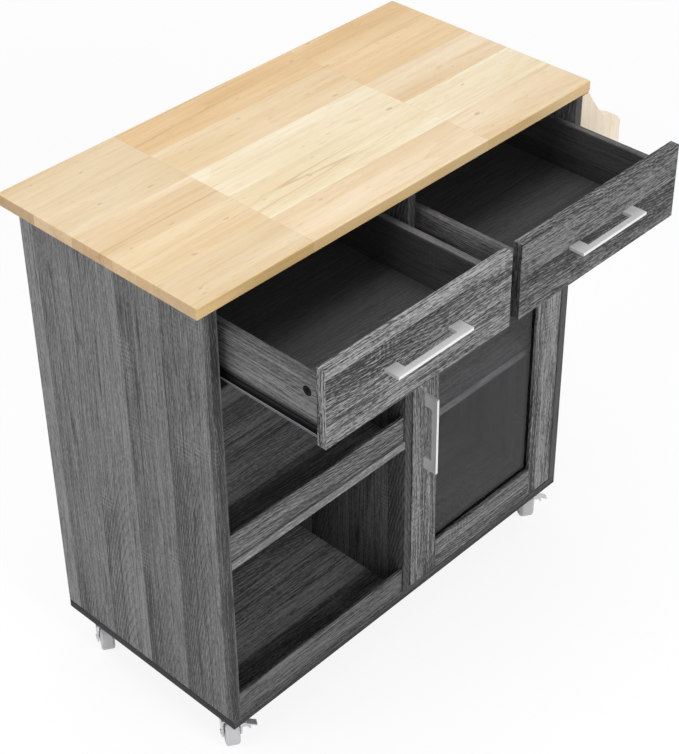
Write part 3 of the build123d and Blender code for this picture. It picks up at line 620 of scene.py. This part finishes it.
def glass_material():
    """Grey-tinted pane with a slight haze and faint smears."""
    material, tree, shader, coords = start_material("door_glass")
    smear = grain_noise(tree, coords.outputs["Object"], "z", 9.0, 4.0, detail=3.0)
    shader.inputs["Base Color"].default_value = (0.55, 0.555, 0.56, 1.0)
    shader.inputs["Transmission Weight"].default_value = 1.0
    shader.inputs["IOR"].default_value = 1.2
    put(shader.inputs["Roughness"], span(tree, smear, 0.35, 0.7, 0.07, 0.12))
    return material


# Each board's grain axis, edge-band axis, dark to light greys, weights of flecks and lines, and darker edges
board_looks = {
    "side": ("z", "y", (0.040, 0.140, 0.250), 0.16, 0.20, (("y", 0.65),)),
    "right_side": ("z", "y", (0.040, 0.140, 0.250), 0.16, 0.20, (("y", 0.30),)),
    "divider": ("z", "y", (0.034, 0.110, 0.205), 0.16, 0.20, (("y", 0.50),)),
    "back": ("z", "x", (0.026, 0.038, 0.052), 0.10, 0.20),
    "stile": ("z", "x", (0.032, 0.158, 0.335), 0.26, 0.38),
    "rail": ("x", "z", (0.033, 0.148, 0.312), 0.22, 0.36),
    "left_front": ("x", "z", (0.018, 0.150, 0.370), 0.28, 0.32),
    "right_front": ("x", "z", (0.010, 0.083, 0.235), 0.28, 0.32, (("x", 0.55),)),
    "shelf_lip": ("x", "z", (0.025, 0.105, 0.250), 0.22, 0.40),
    "base_lip": ("x", "z", (0.012, 0.066, 0.172), 0.22, 0.40),
    # The shelves' greys are lighter than the other boards' as painted light, making up for the shade under
    # the drawer above
    "shelf": ("x", "y", (0.150, 0.325, 0.525), 0.22, 0.32),
    "base": ("x", "y", (0.068, 0.185, 0.345), 0.22, 0.32, (("x", 0.05), ("y", 0.25))),
}
boards = {name: board_material(f"grey_oak_{name}", *look) for name, look in board_looks.items()}
lining = lining_material()
rack_wood = {axis: pale_wood_material(f"rack_wood_{axis}", axis) for axis in "yz"}
satin = dict(smooth=0.28, rough=0.40, metallic=0.5)
bright = dict(smooth=0.24, rough=0.42, metallic=0.7)
nickel_x = metal_material("satin_nickel_x", nickel, (30.0, 900.0, 900.0), **satin)
nickel_z = metal_material("satin_nickel_z", nickel, (900.0, 900.0, 30.0), **satin)
zinc = metal_material("zinc", (0.68, 0.69, 0.70), (240.0, 240.0, 240.0), **bright)
roller_plastic = coated_material("roller_plastic", (0.72, 0.72, 0.70), roughness=0.45, grit=700.0)

# Finish of each node that has one of its own
finish_of = {
    "worktop": rubberwood_material(),
    "left_side_panel": boards["side"],
    "right_side_panel": boards["right_side"],
    "centre_divider": boards["divider"],
    "back_panel": boards["back"],
    "base_panel": boards["base"],
    "base_lip": boards["base_lip"],
    "open_shelf": boards["shelf"],
    "shelf_lip": boards["shelf_lip"],
    "cabinet_shelf": boards["shelf"],
    "left_drawer_front": boards["left_front"],
    "right_drawer_front": boards["right_front"],
    "door_left_stile": boards["stile"],
    "door_right_stile": boards["stile"],
    "door_top_rail": boards["rail"],
    "door_bottom_rail": boards["rail"],
    "door_glass": glass_material(),
    "glass_seal": coated_material("seal_rubber", (0.012, 0.012, 0.012), roughness=0.6, grit=800.0),
    "door_handle": nickel_z,
    "rack_rail": rack_wood["y"],
    "rack_front_bracket": rack_wood["z"],
    "rack_rear_bracket": rack_wood["z"],
}

# Finish of the other nodes, by the end of their names
finish_of_kind = {
    "_drawer_left_side": drawer_side_material("drawer_left_side", 1.0),
    "_drawer_right_side": drawer_side_material("drawer_right_side", -1.0),
    "_drawer_bottom": lining,
    "_drawer_back": lining,
    "_drawer_handle": nickel_x,
    "_drawer_fasteners": coated_material("cam_metal", near_black, roughness=0.65, grit=600.0, sheen=0.1),
    "_drawer_runners": drawer_runner_material(),
    "_cabinet_runners": coated_material("runner_paint", (0.030, 0.030, 0.032), roughness=0.42, grit=900.0),
    "_rollers": roller_plastic,
    "_wheel": coated_material("wheel_plastic", (0.66, 0.66, 0.67), roughness=0.38, grit=500.0, coat=0.1),
    "_fork": zinc,
    "_pedal": zinc,
    "_plates": zinc,
    "_screws": zinc,
    "_pins": zinc,
    "_cups": zinc,
    "_arms": zinc,
}


def finish_for(name):
    """The material of a CAD node: its own, or else that of its kind."""
    if name in finish_of:
        return finish_of[name]
    return next(material for ending, material in finish_of_kind.items() if name.endswith(ending))


for name, piece in nodes.items():
    piece.data.materials.clear()
    piece.data.materials.append(finish_for(name))

# Camera, fitted to the corners of the cart in the photo
carcass_corner = Vector((-0.382, -0.190, 0.065))
corner_to_eye = Vector((-1.21048, -1.40026, 2.08419))
tilt, pan, roll = 0.954369, -0.801821, -0.013335
focal_px, long_side_px = 1823.11, 754.0
sensor_mm = 36.0
frame_shift = -0.1
facing = Matrix.Rotation(pan, 4, "Z") @ Matrix.Rotation(tilt, 4, "X") @ Matrix.Rotation(roll, 4, "Z")
camera_data = bpy.data.cameras.new("camera")
camera_data.sensor_width = sensor_mm
camera_data.lens = focal_px / long_side_px * sensor_mm
camera_data.shift_y = frame_shift
camera_data.clip_start = 0.05
camera_data.clip_end = 50.0
camera = bpy.data.objects.new("camera", camera_data)
camera.matrix_world = Matrix.Translation(carcass_corner + corner_to_eye) @ facing
bpy.context.scene.collection.objects.link(camera)
bpy.context.scene.camera = camera

# Floor, light and background: the floor's glow reaches full white between two distances from the cart
floor_reach = 30.0
floor_greys = (0.86, 0.86, 0.86), (0.88, 0.88, 0.88)
floor_whiteness = 0.8
floor_glow = 1.07
glow_start, glow_full = 1.6, 5.0
ambient = 0.36


def seen_directly(tree):
    """One for rays from the camera and for what metal and glass show."""
    path = tree.nodes.new("ShaderNodeLightPath").outputs
    mirrored = calc(tree, "MAXIMUM", path["Is Glossy Ray"], path["Is Transmission Ray"])
    return calc(tree, "MAXIMUM", path["Is Camera Ray"], mirrored)


def add_floor():
    """A plain pale floor that keeps the cart's soft shadow."""
    near, far = -floor_reach, floor_reach
    mesh = bpy.data.meshes.new("floor")
    mesh.from_pydata([(near, near, 0), (far, near, 0), (far, far, 0), (near, far, 0)], [], [(0, 1, 2, 3)])
    floor = bpy.data.objects.new("floor", mesh)
    bpy.context.scene.collection.objects.link(floor)
    material, tree, shader, coords = start_material("floor")
    place = coords.outputs["Object"]
    put(shader.inputs["Base Color"], mix(tree, even_noise(tree, place, 3.0), *floor_greys))
    shader.inputs["Roughness"].default_value = 0.9
    shader.inputs["Specular IOR Level"].default_value = 0.1
    white = tree.nodes.new("ShaderNodeEmission")
    white.inputs["Strength"].default_value = floor_glow
    distance = calc_vector(tree, "LENGTH", place)
    glow = span(tree, distance, glow_start, glow_full, floor_whiteness, 1.0)
    shown = calc(tree, "MULTIPLY", seen_directly(tree), glow)
    blend = fill(tree.nodes.new("ShaderNodeMixShader"), (shown, shader.outputs[0], white.outputs[0]))
    put(tree.nodes["Material Output"].inputs["Surface"], blend[0])
    mesh.materials.append(material)


def add_lamp(name, place, target, side, power, shines):
    """A soft square lamp aimed at a point, with or without highlights on gloss."""
    data = bpy.data.lights.new(name, "AREA")
    data.shape = "RECTANGLE"
    data.size = side
    data.size_y = side
    data.energy = power
    lamp = bpy.data.objects.new(name, data)
    lamp.location = place
    lamp.visible_glossy = shines
    lamp.rotation_euler = (Vector(target) - Vector(place)).to_track_quat("-Z", "Y").to_euler()
    bpy.context.scene.collection.objects.link(lamp)


def add_world():
    """White surroundings: plain white to the camera, soft light for the rest."""
    world = bpy.data.worlds.new("studio")
    world.use_nodes = True
    tree = world.node_tree
    back = tree.nodes["Background"]
    put(back.inputs["Color"], (1.0, 1.0, 1.0, 1.0))
    put(back.inputs["Strength"], span(tree, seen_directly(tree), 0.0, 1.0, ambient, 1.0))
    bpy.context.scene.world = world


add_floor()
add_lamp("front", place=(-0.3, -2.7, 1.6), target=(0.0, -0.2, 0.5), side=1.0, power=33.0, shines=False)
add_lamp("side", place=(-2.6, 0.3, 1.9), target=(-0.3, 0.0, 0.4), side=1.6, power=27.5, shines=False)
add_lamp("top", place=(0.1, 0.1, 3.3), target=(0.0, 0.0, 0.5), side=2.0, power=34.0, shines=True)
add_world()
bpy.context.scene.view_settings.view_transform = "Standard"
